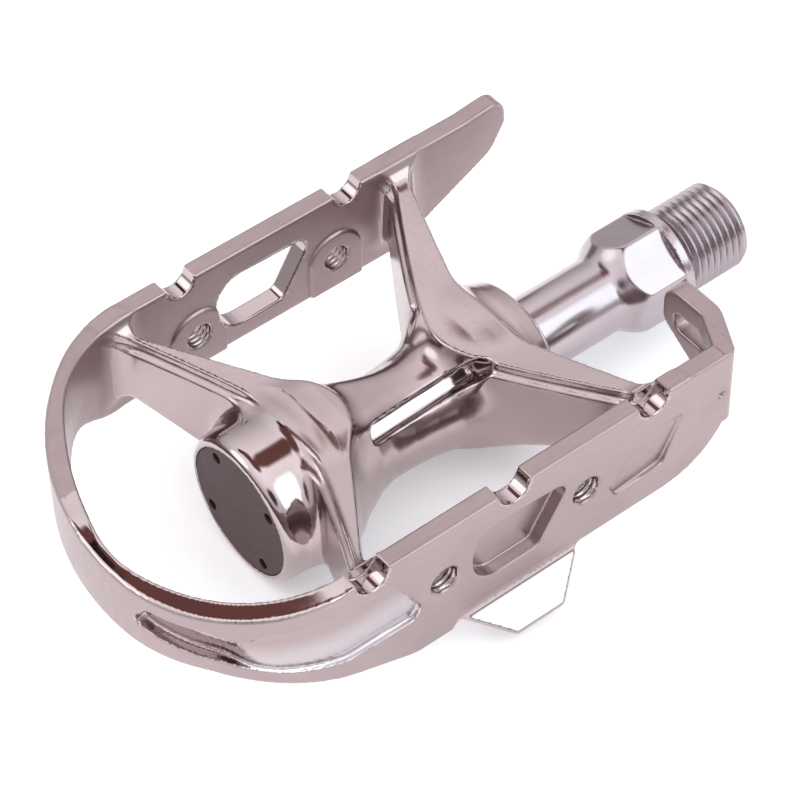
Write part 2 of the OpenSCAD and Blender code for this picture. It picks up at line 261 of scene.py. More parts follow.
INBOARD_EDGES = ((-43.3, 0.62, 6.0), (-35.8, 0.36, 4.0))
OUTBOARD_EDGES = ((-69.7, -0.49, 9.0), (-62.6, -0.68, 4.0))
ARM_TOP = (11.3, 0.068, 0.0009)
ARM_LOW = (-8.2, 0.42)
SHELF_W = 1.1
SHELF_DROP = 1.6


def arm_pair(x, y, z, edges):
    """A front and a rear arm as one blade bent over the barrel. edges are its outboard and inboard
    edges in plan, as (x0, slope, bend). A shelf runs along the outboard flank under the top."""
    along = smooth_abs(y, 3.0)
    left, right = swept_edge(y, *edges[0]), swept_edge(y, *edges[1])
    drop = ARM_TOP[0] + ARM_TOP[1] * along + ARM_TOP[2] * along * along - z
    draft = 0.07 * np.clip(drop, 0, 12)
    inboard = (x - right - draft) * 0.86
    blade = smax(smax((left - draft - x) * 0.86, inboard, 0.5), -drop, 0.5)
    shelf = smax((left - SHELF_W - draft - x) * 0.86, inboard + 1.4, 0.5)
    shelf = smax(smax(shelf, SHELF_DROP - drop, 0.6), 5.5 - along, 1.0)
    web = smax(smin(blade, shelf, 0.9), ARM_LOW[0] + ARM_LOW[1] * along - z, 2.5)
    return np.maximum(web, along - 29.2)


def arms(x, y, z):
    return smin(arm_pair(x, y, z, INBOARD_EDGES), arm_pair(x, y, z, OUTBOARD_EDGES), 2.5)


def saddle(x, y, z):
    """The ridge that runs down from the outboard arms to the waist."""
    t = np.clip((x + 63.5) / 17, 0, 1)
    side = np.abs(y + 0.5) - 6.2 + 3.8 * t
    ridge = smax((z - 11.6 + 4.5 * t) * 0.97, side, 3.0)
    return np.maximum(np.maximum(ridge, np.abs(x + 56) - 10), -z)


def waist_channel(x, y, z):
    """The long scooped channel on the rear of the waist, deepest under its upper edge."""
    tilt = math.radians(41)
    down = -y * math.cos(tilt) - z * math.sin(tilt) + 0.03 * (x + 50)
    out = -y * math.sin(tilt) + z * math.cos(tilt)
    length = np.abs(x + 50.4) - 10.2
    width = np.abs(down + 0.75) - 1.45
    floor = 6.4 + 0.06 * (down + 2.2) - out
    return smax(smax(length, width, 1.6), floor, 0.9)


def band(x, y):
    """The cage's wall: the plan outline with a wall inside it, thinner at the front corner."""
    plan = np.where(y < 0, REAR_PLAN(x, y), FRONT_PLAN(x, y))
    corner = np.exp(-((x + 93) ** 2 + (y - 24) ** 2) / 60) + np.exp(-((x + 107) ** 2 + (y + 6) ** 2) / 60)
    t = PLATE_T + 0.15 - 0.9 * corner
    return np.abs(plan + t / 2) - t / 2, plan


def holes(field, x, y, z, pattern, wall, half_t, bevel):
    """Tapped holes through a plate, with the edge broken on both faces."""
    for side in (-1, 1):
        r = np.hypot(x - pattern[0] - side * HOLE_SPACING / 2, z - pattern[1])
        face = np.abs(y - wall) - half_t
        cone = (r - HOLE_R - bevel - face) * 0.7071
        field = cut(field, np.maximum(np.minimum(r - HOLE_R, cone), face - 3), 0.15)
    return field


def notch_distance(x, z, notches):
    places, r = notches
    return np.minimum.reduce([np.hypot(x - place, z - PLATE_TOP) for place in places]) - r


def notches(field, x, y, z):
    for kind, side in ((FRONT_NOTCHES, 1), (REAR_NOTCHES, -1)):
        across = np.maximum(28.7 - side * y, side * y - 36)
        field = cut(field, np.maximum(notch_distance(x, z, kind), across), 0.3)
    return field


def cage(x, y, z):
    """The two plates, the nose and the strap guide as one bent wall."""
    wall, plan = band(x, y)
    front = FRONT_SIDE(x, z)
    # the nose's top edge leans outward round the rear corner
    corner = np.clip((-84 - x) / 10, 0, 1) * np.clip((9 - y) / 10, 0, 1) * np.clip((z - 11) / 3, 0, 1)
    rear = REAR_SIDE(x, z + 0.26 * (plan + PLATE_T) * corner)
    guide = np.maximum(GUIDE_SIDE(y, z), -16 - x)
    rear = smin(rear, guide, 0.2)
    mix = np.clip(0.5 + y / 6, 0, 1)
    side = rear + (front - rear) * mix * mix * (3 - 2 * mix)
    field = smax(wall, side, 0.55 + 0.2 * corner)
    # nothing of the cage's wall crosses the spindle's side
    field = np.maximum(field, np.minimum(14.3 - np.abs(y), x + 70))
    slot = smax(GUIDE_SLOT(y, z), np.abs(x + 13) - 5, 0.3)
    return cut(field, slot, 0.4), plan


def recesses(field, x, y, z, plan):
    """The scooped recess round the nose, the dished one and the window-shaped one on the rear plate."""
    wall = along_wall(x, y)
    below = 10.6 - z
    ramp = 0.055 * (below + np.sqrt(below * below + 4)) - 0.11
    pocket = 1 / (1 + np.exp(np.clip((wall + 17) / 1.1, -30, 30)))
    depth = ramp + (1.9 - ramp) * pocket
    scoop = smax(NOSE_RECESS(wall, z), -plan - depth, 0.6)
    field = cut(field, np.maximum(scoop, y + 6), 0.3)
    fade = np.clip(0.75 - (z - 1) * 0.085 + (x + 31) * 0.03, -0.2, 1)
    dent = smax(smax(REAR_RECESS(x, z), -plan - fade, 0.4), y + 25, 0.4)
    field = cut(field, dent, 0.2)
    pocket = smax(REAR_WINDOW(x, z), -plan - REAR_POCKET_DEPTH, 0.35)
    pip = smax(np.hypot(x + 16.6, z - 8.0) - 0.6, -plan - 0.6, 0.1)
    return cut(field, np.maximum(np.minimum(pocket, pip), y + 25), 0.3)


def flip_tab(x, y, z):
    """The tab below the rear plate that a toe turns the pedal over with."""
    dy, dz = y + CAGE_HALF_W, z - REAR_BOTTOM
    out = -dy * math.cos(TAB_SLOPE) - dz * math.sin(TAB_SLOPE)
    up = -dy * math.sin(TAB_SLOPE) + dz * math.cos(TAB_SLOPE)
    return smax(TAB(x, out), np.abs(up + TAB_T / 2) - TAB_T / 2, 0.5)


def front_pads(x, y, z):
    """Tombstone pads round the front holes, on the plate's inner face."""
    field = None
    for side in (-1, 1):
        dx = x - FRONT_HOLES[0] - side * HOLE_SPACING / 2
        dz = z - FRONT_HOLES[1]
        shape = np.where(dz > 0, np.hypot(dx, dz), np.abs(dx)) - 4.9
        shape = smax(shape, FRONT_BOTTOM - z, 0.5)
        reach = CAGE_HALF_W - PLATE_T - PAD_H - y
        pad = smax(shape, np.maximum(reach, y - 30.5), 0.3)
        field = pad if field is None else np.minimum(field, pad)
    return field


def bores(x, r):
    """The stepped bore through the barrel, as in the CAD model."""
    steps = ((10.55, -90, -78.2), (9.95, -79, -75.2), (9.4, -76, -63), (5.9, -64, -37.6),
             (10.4, -38, -20))
    field = None
    for radius, x0, x1 in steps:
        one = np.maximum(r - radius, np.maximum(x0 - x, x - x1))
        field = one if field is None else np.minimum(field, one)
    return field


def casting(x, y, z):
    """Signed distance to the one-piece cage and barrel, in millimetres."""
    r = np.hypot(y, z)
    ends = np.maximum(BARREL_ENDS[0] - x, x - BARREL_ENDS[1])
    barrel = smax((r - barrel_radius(x)) * 0.93, ends, 0.6)
    middle = smin(smin(barrel, saddle(x, y, z), 2.5), arms(x, y, z), 3.0)
    middle = cut(middle, waist_channel(x, y, z), 0.45)
    outer, plan = cage(x, y, z)
    field = smin(outer, np.maximum(middle, plan + 2.8), 3.6)
    field = smin(field, flip_tab(x, y, z), 0.8)
    field = smin(field, front_pads(x, y, z), 0.3)
    field = recesses(notches(field, x, y, z), x, y, z, plan)
    field = cut(field, np.maximum(FRONT_WINDOW(x, z), 25 - y), 0.35)
    half_front, half_rear = (PLATE_T + PAD_H) / 2, PLATE_T / 2
    field = holes(field, x, y, z, FRONT_HOLES, CAGE_HALF_W - half_front, half_front, 0.3)
    field = holes(field, x, y, z, REAR_HOLES, half_rear - CAGE_HALF_W, half_rear, 0.6)
    return cut(field, bores(x, r), 0.15)


# ---- meshing -----------------------------------------------------------------------------------------

def slope_of(field, p, eps=0.02):
    """Unit gradient of the field at points p, by four samples."""
    corners = np.array(((1, -1, -1), (-1, -1, 1), (-1, 1, -1), (1, 1, 1)), float)
    g = np.zeros_like(p)
    for c in corners:
        q = p + eps * c
        g += c * field(q[:, 0], q[:, 1], q[:, 2])[:, None]
    return g / np.maximum(np.linalg.norm(g, axis=1), 1e-12)[:, None]


def crossings(field, grid, axes, step, axis):
    """Where the surface crosses the grid's edges along one axis: indices, points and outward sign."""
    first = [slice(None)] * 3
    second = [slice(None)] * 3
    first[axis], second[axis] = slice(0, -1), slice(1, None)
    a, b = grid[tuple(first)], grid[tuple(second)]
    index = np.argwhere((a < 0) != (b < 0))
    fa, fb = a[tuple(index.T)], b[tuple(index.T)]
    p = np.stack([axes[i][index[:, i]] for i in range(3)], axis=1)
    t = fa / (fa - fb)
    q = p.copy()
    q[:, axis] += step * t
    middle = field(q[:, 0], q[:, 1], q[:, 2])
    same = (middle < 0) == (fa < 0)
    t0, f0 = np.where(same, t, 0), np.where(same, middle, fa)
    t1, f1 = np.where(same, 1, t), np.where(same, fb, middle)
    t = t0 + (t1 - t0) * f0 / (f0 - f1 + 1e-12)
    q[:, axis] = p[:, axis] + step * np.clip(t, 0, 1)
    return index, q, fa < 0


def sample(field, axes, step, block=4):
    """The field on a grid. Blocks of it that are far from the surface keep their middle's value."""
    n = [len(a) for a in axes]
    blocks = [-(-count // block) for count in n]
    half = (block - 1) / 2
    middle = [axes[i][0] + step * (block * np.arange(blocks[i]) + half) for i in range(3)]
    coarse = field(middle[0][:, None, None], middle[1][None, :, None], middle[2][None, None, :])
    coarse = np.broadcast_to(coarse, blocks)
    grid = coarse
    for i in range(3):
        grid = np.repeat(grid, block, axis=i)
    grid = np.ascontiguousarray(grid)
    near = np.argwhere(np.abs(coarse) < 1.5 * block * step)
    inner = np.stack(np.meshgrid(*[np.arange(block)] * 3, indexing="ij"), axis=-1).reshape(-1, 3)
    for start in range(0, len(near), 3000):
        index = (near[start:start + 3000, None, :] * block + inner[None]).reshape(-1, 3)
        p = [axes[i][0] + step * index[:, i] for i in range(3)]
        grid[tuple(index.T)] = field(*p)
    return grid[:n[0], :n[1], :n[2]]


def dual_contour(field, low, high, step):
    """A closed quad mesh of field = 0 with crisp edges: one vertex a cell, where the tangent planes of
    the cell's crossings meet."""
    low, high = np.array(low, float), np.array(high, float)
    n = np.ceil((high - low) / step).astype(int) + 1
    axes = [low[i] + step * np.arange(n[i]) for i in range(3)]
    grid = sample(field, axes, step)
    cells, points, normals = [], [], []
    for axis in range(3):
        index, p, inside = crossings(field, grid, axes, step, axis)
        u, v = (axis + 1) % 3, (axis + 2) % 3
        keep = (index[:, u] > 0) & (index[:, v] > 0) & (index[:, u] < n[u] - 1) & (index[:, v] < n[v] - 1)
        index, p, inside = index[keep], p[keep], inside[keep]
        ring = []
        for du, dv in ((-1, -1), (0, -1), (0, 0), (-1, 0)):
            cell = index.copy()
            cell[:, u] += du
            cell[:, v] += dv
            ring.append(np.ravel_multi_index(cell.T, n))
        ring = np.stack(ring, axis=1)
        ring[~inside] = ring[~inside][:, ::-1]
        cells.append(ring)
        points.append(p)
        normals.append(slope_of(field, p))
    cells, points, normals = np.concatenate(cells), np.concatenate(points), np.concatenate(normals)
    names, compact = np.unique(cells, return_inverse=True)
    compact = compact.reshape(cells.shape)
    count = len(names)

    def gather(values):
        return np.bincount(compact.ravel(), np.repeat(values, 4), count)

    share = gather(np.ones(len(points)))
    mean = np.stack([gather(points[:, i]) for i in range(3)], axis=1) / share[:, None]
    square = np.empty((count, 3, 3))
    for i in range(3):
        for j in range(i, 3):
            square[:, i, j] = square[:, j, i] = gather(normals[:, i] * normals[:, j])
    offset = np.sum(normals * points, axis=1)
    pull = np.stack([gather(normals[:, i] * offset) for i in range(3)], axis=1)
    pull -= np.einsum("nij,nj->ni", square, mean)
    square += 0.06 * share[:, None, None] * np.eye(3)
    move = np.linalg.solve(square, pull[:, :, None])[:, :, 0]
    corner = np.stack(np.unravel_index(names, n), axis=1) * step + low
    return np.clip(mean + move, corner - 0.15 * step, corner + 1.15 * step), compact


def mesh_object(name, vertices, faces):
    """A smooth-shaded object from points in millimetres."""
    mesh = bpy.data.meshes.new(name)
    mesh.from_pydata([], [], [])
    corners = faces.shape[1]
    mesh.vertices.add(len(vertices))
    mesh.vertices.foreach_set("co", (vertices * MM).astype(np.float32).ravel())
    mesh.loops.add(faces.size)
    mesh.loops.foreach_set("vertex_index", faces.astype(np.int32).ravel())
    mesh.polygons.add(len(faces))
    mesh.polygons.foreach_set("loop_start", np.arange(0, faces.size, corners, dtype=np.int32))
    mesh.update(calc_edges=True)
    mesh.polygons.foreach_set("use_smooth", np.ones(len(faces), bool))
    obj = bpy.data.objects.new(name, mesh)
    bpy.context.scene.collection.objects.link(obj)
    return obj


def thin_out(obj, triangles):
    """Merges the flattest faces until the mesh has about this many triangles."""
    faces = 2 * len(obj.data.polygons)
    if faces <= triangles:
        return
    modifier = obj.modifiers.new("thin", "DECIMATE")
    modifier.ratio = triangles / faces
    graph = bpy.context.evaluated_depsgraph_get()
    thinned = bpy.data.meshes.new_from_object(obj.evaluated_get(graph))
    obj.modifiers.clear()
    dense = obj.data
    obj.data = thinned
    bpy.data.meshes.remove(dense)
    thinned.name = obj.name


def face_centres(mesh):
    centres = np.empty(3 * len(mesh.polygons))
    mesh.polygons.foreach_get("center", centres)
    return centres.reshape(-1, 3) / MM


def shade_by_field(mesh, field, eps=0.07):
    """Corner normals from the field itself, so that flats stay flat and roundings smooth."""
    vertices = np.empty(3 * len(mesh.vertices))
    mesh.vertices.foreach_get("co", vertices)
    index = np.empty(len(mesh.loops), np.int32)
    mesh.loops.foreach_get("vertex_index", index)
    corners = np.empty(len(mesh.polygons), np.int32)
    mesh.polygons.foreach_get("loop_total", corners)
    centres = np.repeat(face_centres(mesh), corners, axis=0)
    near = 0.75 * vertices.reshape(-1, 3)[index] / MM + 0.25 * centres
    mesh.polygons.foreach_set("use_smooth", np.ones(len(mesh.polygons), bool))
    mesh.normals_split_custom_set(slope_of(field, near, eps).tolist())


# ---- materials ---------------------------------------------------------------------------------------

def new_material(name, colour, metallic, roughness, **sockets):
    material = bpy.data.materials.new(name)
    material.use_nodes = True
    shader = material.node_tree.nodes["Principled BSDF"]
    shader.inputs["Base Color"].default_value = (*colour, 1)
    shader.inputs["Metallic"].default_value = metallic
    shader.inputs["Roughness"].default_value = roughness
    for socket, value in sockets.items():
        shader.inputs[socket.replace("_", " ")].default_value = value
    return material, shader


def add(material, kind, **settings):
    node = material.node_tree.nodes.new(kind)
    for key, value in settings.items():
        if key in node.inputs:
            node.inputs[key].default_value = value
        else:
            setattr(node, key, value)
    return node


def coordinates(material, scale=(1, 1, 1)):
    """Object coordinates in millimetres, stretched by scale."""
    where = add(material, "ShaderNodeTexCoord")
    mapping = add(material, "ShaderNodeMapping")
    mapping.inputs["Scale"].default_value = [s / MM for s in scale]
    material.node_tree.links.new(where.outputs["Object"], mapping.inputs["Vector"])
    return mapping.outputs["Vector"]


def noise(material, vector, scale, detail=3.0):
    node = add(material, "ShaderNodeTexNoise")
    node.inputs["Scale"].default_value = scale
    node.inputs["Detail"].default_value = detail
    material.node_tree.links.new(vector, node.inputs["Vector"])
    return node.outputs["Fac"]


def spread(material, value, low, high):
    """Maps a noise to a range."""
    node = add(material, "ShaderNodeMapRange")
    node.inputs["From Min"].default_value = 0.3
    node.inputs["From Max"].default_value = 0.7
    node.inputs["To Min"].default_value = low
    node.inputs["To Max"].default_value = high
    material.node_tree.links.new(value, node.inputs["Value"])
    return node.outputs["Result"]


def tint(material, value, dark, light):
    node = add(material, "ShaderNodeMix", data_type="RGBA")
    node.inputs[6].default_value = (*dark, 1)
    node.inputs[7].default_value = (*light, 1)
    material.node_tree.links.new(value, node.inputs[0])
    return node.outputs[2]


def bump(material, shader, height, distance, strength=1.0):
    node = add(material, "ShaderNodeBump")
    node.inputs["Strength"].default_value = strength
    node.inputs["Distance"].default_value = distance * MM
    material.node_tree.links.new(height, node.inputs["Height"])
    material.node_tree.links.new(node.outputs["Normal"], shader.inputs["Normal"])


def metal(name, colour, roughness, grain=(1, 1, 1), grain_depth=0.002, variation=0.05):
    """A metal with fine grain stretched along its machining, cloudy tone and uneven polish."""
    material, shader = new_material(name, colour, 1.0, roughness)
    links = material.node_tree.links
    clouds = noise(material, coordinates(material), 0.09, 4)
    fine = noise(material, coordinates(material, grain), 2.2, 3)
    dark = [c * (1 - variation) for c in colour]
    light = [min(1, c * (1 + variation)) for c in colour]
    links.new(tint(material, spread(material, clouds, 0, 1), dark, light), shader.inputs["Base Color"])
    links.new(spread(material, fine, roughness * 0.85, roughness * 1.2), shader.inputs["Roughness"])
    bump(material, shader, fine, grain_depth)
    return material


ALLOY = (0.39, 0.305, 0.304)


def tapped_alloy():
    """The holes' walls: a polished metal ringed by the fine turns of an M5 thread."""
    material, shader = new_material("tapped_alloy", (0.46, 0.38, 0.38), 1.0, 0.12)
    wave = add(material, "ShaderNodeTexWave", wave_type="BANDS", bands_direction="Y")
    wave.inputs["Scale"].default_value = 0.39
    wave.inputs["Distortion"].default_value = 0.2
    material.node_tree.links.new(coordinates(material), wave.inputs["Vector"])
    bump(material, shader, wave.outputs["Fac"], 0.25)
    return material


def scoop_alloy():
    """The recess round the nose: a lighter, more neutral base colour low down, a painted reflection of the
    pale floor, fading by height into the satin colour above.
    """
    material, shader = new_material("scoop_alloy", (0.52, 0.46, 0.475), 1.0, 0.2)
    links = material.node_tree.links
    where = coordinates(material)
    split = add(material, "ShaderNodeSeparateXYZ")
    links.new(where, split.inputs["Vector"])
    fade = add(material, "ShaderNodeMapRange", interpolation_type="SMOOTHSTEP")
    fade.inputs["From Min"].default_value = 5.5
    fade.inputs["From Max"].default_value = 10.8
    links.new(split.outputs["Z"], fade.inputs["Value"])
    # painted reflection: below z = 5.5 mm the base colour is lighter and more neutral, fading to the satin
    # alloy by z = 10.8 mm, standing in for the white floor seen in the recess
    links.new(tint(material, fade.outputs["Result"], (0.52, 0.46, 0.475), ALLOY), shader.inputs["Base Color"])
    scratches = noise(material, coordinates(material, (0.2, 0.2, 1.5)), 2.0, 3)
    links.new(spread(material, scratches, 0.17, 0.28), shader.inputs["Roughness"])
    bump(material, shader, scratches, 0.002)
    return material


SATIN_ALLOY = metal("satin_alloy", ALLOY, 0.36, (0.15, 1, 1), 0.004)
POLISHED_ALLOY = metal("polished_alloy", (0.44, 0.355, 0.355), 0.19, (0.6, 0.6, 0.6), 0.0012)
MIRROR_ALLOY = metal("mirror_alloy", (0.47, 0.39, 0.39), 0.08, (0.6, 0.6, 0.6), 0.0006)
TAPPED_ALLOY = tapped_alloy()
SCOOP_ALLOY = scoop_alloy()
SPINDLE_STEEL = metal("spindle_steel", (0.44, 0.375, 0.395), 0.2, (0.1, 1, 1), 0.002)
THREAD_STEEL = metal("thread_steel", (0.41, 0.35, 0.37), 0.24, (0.4, 1, 1), 0.002)
BEARING_STEEL = metal("bearing_steel", (0.5, 0.48, 0.48), 0.16)
ZINC_STEEL = metal("zinc_steel", (0.56, 0.55, 0.56), 0.3)
SEAL_STEEL = metal("seal_steel", (0.45, 0.4, 0.4), 0.25)
BALL_STEEL = metal("ball_steel", (0.62, 0.62, 0.64), 0.05, variation=0.02)


def cap_plastic():
    """Dark moulded cap with a fine grain and faint scuffs."""
    material, shader = new_material("cap_plastic", (0.04, 0.025, 0.025), 0.0, 0.42,
                                    Specular_IOR_Level=0.2)
    links = material.node_tree.links
    mottle = noise(material, coordinates(material), 0.35, 5)
    grain = noise(material, coordinates(material), 3.5, 2)
    links.new(tint(material, spread(material, mottle, 0, 1), (0.042, 0.015, 0.016), (0.062, 0.023, 0.025)),
              shader.inputs["Base Color"])
    links.new(spread(material, grain, 0.36, 0.5), shader.inputs["Roughness"])
    bump(material, shader, grain, 0.02)
    return material


CAP_PLASTIC = cap_plastic()

# ---- the casting's piece -------------------------------------------------------------------------------


def build_casting():
    """The casting's mesh, with a finish given to each of its faces."""
    step = CASTING_STEP[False]
    low = (-109.2, -39.6, -14.2)
    high = (-5.2, 33.4, 18.4)
    piece = mesh_object("cage_casting", *dual_contour(casting, low, high, step))
    thin_out(piece, CASTING_TRIANGLES)
    shade_by_field(piece.data, casting)
    for material in (SATIN_ALLOY, POLISHED_ALLOY, MIRROR_ALLOY, TAPPED_ALLOY, SCOOP_ALLOY):
        piece.data.materials.append(material)
    x, y, z = face_centres(piece.data).T
    plan = band(x, y)[1]
    along = along_wall(x, y)
    # satin on the wall's faces, polish inside it, and a mirror finish on the milled features
    slot = np.where(plan > -PLATE_T - 0.75, SATIN, POLISHED).astype(np.int32)
    scooped = (NOSE_RECESS(along, z) < 0.1) & (y < -6) & (plan > -2.6)
    # the recess's right part gets the scoop material, whose lighter base colour is a painted reflection of
    # the floor
    slot[scooped] = np.where(along[scooped] > -17.3, SCOOP, MIRROR)
    slot[(np.hypot(y, z) < barrel_radius(x) + 0.3) & (np.abs(x + 74) < 6.5)] = MIRROR
    slot[waist_channel(x, y, z) < 0.3] = MIRROR
    slot[(z > PLATE_TOP - 1.5) & (x < -83) & (y < 6) & (plan < -0.25) & (plan > -3.1)] = MIRROR
    slot[(y > 25) & (FRONT_WINDOW(x, z) < 0.35)] = MIRROR
    walls = (plan < -0.3) & (plan > 0.25 - REAR_POCKET_DEPTH)
    slot[(y < -25) & (REAR_WINDOW(x, z) < 0.35) & walls] = MIRROR
    slot[(flip_tab(x, y, z) < 0.5) & (z < REAR_BOTTOM + 0.1)] = MIRROR
    for kind, side in ((FRONT_NOTCHES, 1), (REAR_NOTCHES, -1)):
        slot[(notch_distance(x, z, kind) < 0.3) & (side * y > 28.5)] = MIRROR
    for pattern, side in ((FRONT_HOLES, 1), (REAR_HOLES, -1)):
        dx = np.abs(np.abs(x - pattern[0]) - HOLE_SPACING / 2)
        slot[(np.hypot(dx, z - pattern[1]) < HOLE_R + 0.25) & (side * y > 28)] = TAPPED
    piece.data.polygons.foreach_set("material_index", slot)
    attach(piece, "cage")
    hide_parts("body")


# ---- turned parts --------------------------------------------------------------------------------------

def smooth_by_angle(obj, degrees):
    mesh = obj.data
    mesh.polygons.foreach_set("use_smooth", np.ones(len(mesh.polygons), bool))
    mesh.set_sharp_from_angle(angle=math.radians(degrees))


def blend(a, b, t):
    return a + (b - a) * (1 - np.cos(math.pi * np.clip(t, 0, 1))) / 2


SPINDLE_PROFILE = np.array([
    (-77.6, 3.0), (-77.1, 3.5), (-65.4, 3.5), (-64.8, 4.2), (-40.0, 5.0), (-36.4, 5.4), (-36.39, 5.77)]
    + [(-34 + 2.034 * math.sin(a), 7.8 - 2.034 * math.cos(a)) for a in np.radians(range(0, 61, 6))]
    + [(-31.9, 7.0), (-31.3, 7.0), (-31.25, SHAFT_R), (-13, SHAFT_R)])


def spindle_field(x, y, z):
    """The shaft, its races and wrench flats, up to the shoulder."""
    r = np.hypot(y, z)
    profile = np.interp(x, SPINDLE_PROFILE[:, 0], SPINDLE_PROFILE[:, 1])
    flare = np.where(x < -13, profile, blend(SHAFT_R, SHOULDER_R, (x + 13) / 5.5))
    body = (r - flare) * 0.8
    flats = None
    for k in range(6):
        a = math.radians(HEX_TURN + 60 * k)
        one = y * math.cos(a) + z * math.sin(a) - HEX_AF / 2
        flats = one if flats is None else smax(flats, one, 0.25)
    body = smax(body, np.where(x < -1.6, flats, flats - 9), 0.18)
    collar = smax(r - SHOULDER_R, np.abs(x + 0.8) - 0.8, 0.3)
    body = np.minimum(smax(body, x + 1.2, 0.1), collar)
    keyway = np.maximum(np.maximum(np.abs(y) - 0.9, 2.7 - z), x + 66.6)
    return cut(smax(body, -77.6 - x, 0.2), keyway, 0.1)


# One turn of the thread: place along the pitch and depth below the crest
THREAD_FORM = ((0.0, 0.0), (0.07, 0.0), (0.1, 0.03), (0.42, 0.7), (0.47, 0.76), (0.53, 0.76), (0.58, 0.7),
               (0.9, 0.03), (0.93, 0.0))


def build_thread():
    """The left-hand crank thread, meshed along its helix, with a relief groove and a start chamfer."""
    segments, k = 160, len(THREAD_FORM)
    start, end = 1.0, THREAD_LENGTH
    turns = int((end - start) / THREAD_PITCH) + 4
    place = np.array([n + t for n in range(turns) for t, _ in THREAD_FORM])
    depth = np.array([d for n in range(turns) for _, d in THREAD_FORM])
    around = np.arange(segments) / segments
    x = start + THREAD_PITCH * (place[:, None] - 2.5 - around[None, :])
    x = np.clip(x, start, end)
    crest = np.minimum(THREAD_R - 0.95 + 1.6 * (x - start), THREAD_R - 0.95 + 1.25 * (end - x))
    r = np.minimum(np.broadcast_to(THREAD_R - depth[:, None], x.shape), crest)
    a = 2 * math.pi * around[None, :]
    helix = np.stack([x, r * np.cos(a), r * np.sin(a)], axis=-1)
    index = np.arange(x.size).reshape(x.shape)
    right = np.full_like(index, -1)
    right[:, :-1] = index[:, 1:]
    # one turn on, a row meets the row of the next pitch
    right[k:, -1] = index[:-k, 0]
    quads = np.stack([index[:-1], index[1:], right[1:], right[:-1]], axis=-1).reshape(-1, 4)
    quads = quads[quads.min(axis=1) >= 0]
    points = helix.reshape(-1, 3)
    reach = points[quads][:, :, 0].max(axis=1) - points[quads][:, :, 0].min(axis=1)
    quads = quads[reach > 1e-6]
    # rings that close the ends: the relief groove with the shoulder side, and the flat crank end
    base = len(points)
    rings = [(-0.4, 0.0), (-0.4, THREAD_R - 0.95), (start, THREAD_R - 0.95), (end, THREAD_R - 0.95),
             (end, 3.2), (end, 1.5), (end - 3, 1.5), (end - 3, 0.0)]
    circle = np.stack([np.cos(a[0]), np.sin(a[0])], axis=-1)
    extra = [np.column_stack([np.full(segments, px), pr * circle]) for px, pr in rings]
    points = np.concatenate([points] + extra)
    turn, after = np.arange(segments), (np.arange(segments) + 1) % segments
    joins = [np.stack([base + i * segments + turn, base + (i + 1) * segments + turn,
                       base + (i + 1) * segments + after, base + i * segments + after], axis=-1)
             for i in (0, 1, 3, 4, 5, 6)]
    piece = mesh_object("crank_thread", points, np.concatenate([quads] + joins)[:, ::-1])
    shape = bmesh.new()
    shape.from_mesh(piece.data)
    bmesh.ops.remove_doubles(shape, verts=shape.verts, dist=2e-6)
    bmesh.ops.dissolve_degenerate(shape, edges=shape.edges, dist=1e-6)
    shape.to_mesh(piece.data)
    shape.free()
    piece.data.materials.append(THREAD_STEEL)
    smooth_by_angle(piece, 40)
    return piece


def build_spindle():
    """The turned shaft and its thread, two meshes of the one spindle."""
    step = SPINDLE_STEP[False]
    vertices, quads = dual_contour(spindle_field, (-78.2, -9.2, -9.2), (0.8, 9.2, 9.2), step)
    shaft = mesh_object("spindle_turned", vertices, quads)
    shade_by_field(shaft.data, spindle_field, 0.04)
    shaft.data.materials.append(SPINDLE_STEEL)
    for piece in (shaft, build_thread()):
        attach(piece, "axle")
        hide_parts("spindle")


def build_dust_cap():
    """The cap's flat face with its rounded edge, the skirt behind it and four blind pin holes."""
    def field(x, y, z):
        r = np.hypot(y, z)
        disc = smax(np.maximum(r - 10.5, CAP_FACE_X - x), x + 78.3, 0.25)
        skirt = smax(np.abs(r - 9.3) - 0.6, np.abs(x + 76.85) - 1.5, 0.2)
        shape = smin(disc, skirt, 0.2)
        for quarter in range(4):
            a = math.radians(55 + 90 * quarter)
            hole = np.hypot(y - 8.7 * math.cos(a), z - 8.7 * math.sin(a)) - 0.9
            shape = cut(shape, np.maximum(hole, x + 78.7), 0.12)
        return shape

    step = CAP_STEP[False]
    piece = mesh_object("dust_cap_moulded",
                        *dual_contour(field, (-81, -11.6, -11.6), (-74.4, 11.6, 11.6), step))
    shade_by_field(piece.data, field, 0.04)
    piece.data.materials.append(CAP_PLASTIC)
    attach(piece, "cage")
    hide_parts("dust_cap")


def dress_cad_nodes():
    """Materials of the CAD nodes that stay: bearings, fastenings and the seal."""
    looks = {"inner_cup": BEARING_STEEL, "outer_cup": BEARING_STEEL, "outer_cone": BEARING_STEEL,
             "lock_washer": ZINC_STEEL, "lock_nut": ZINC_STEEL, "dust_seal": SEAL_STEEL}
    for name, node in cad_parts.items():
        material = BALL_STEEL if "_ball_" in name else looks.get(name)
        if material is None:
            continue
        node.data.materials.clear()
        node.data.materials.append(material)
        smooth_by_angle(node, 30)


# ---- stage -----------------------------------------------------------------------------------------------

FLOOR_Z = -12.4
# Direction, inner and outer angle in degrees, and light of each card round the table
STUDIO_CARDS = (
    ((0.40, -0.67, 0.62), 19, 26, (2.3, 2.65, 2.75)),
    ((-0.62, 0.53, 0.57), 14, 20, (2.3, 2.4, 2.4)),
    ((0.33, 0.15, 0.93), 9, 15, (0.24, 0.11, 0.1)),
    ((-0.05, 0.15, 0.985), 10, 17, (0.24, 0.11, 0.1)),
    ((-0.05, 0.42, 0.91), 8, 14, (0.24, 0.11, 0.1)),
    ((-0.14, 0.60, 0.79), 4, 7, (0.02, 0.015, 0.015)),
    ((-0.45, -0.60, 0.66), 8, 16, (0.12, 0.09, 0.09)),
)


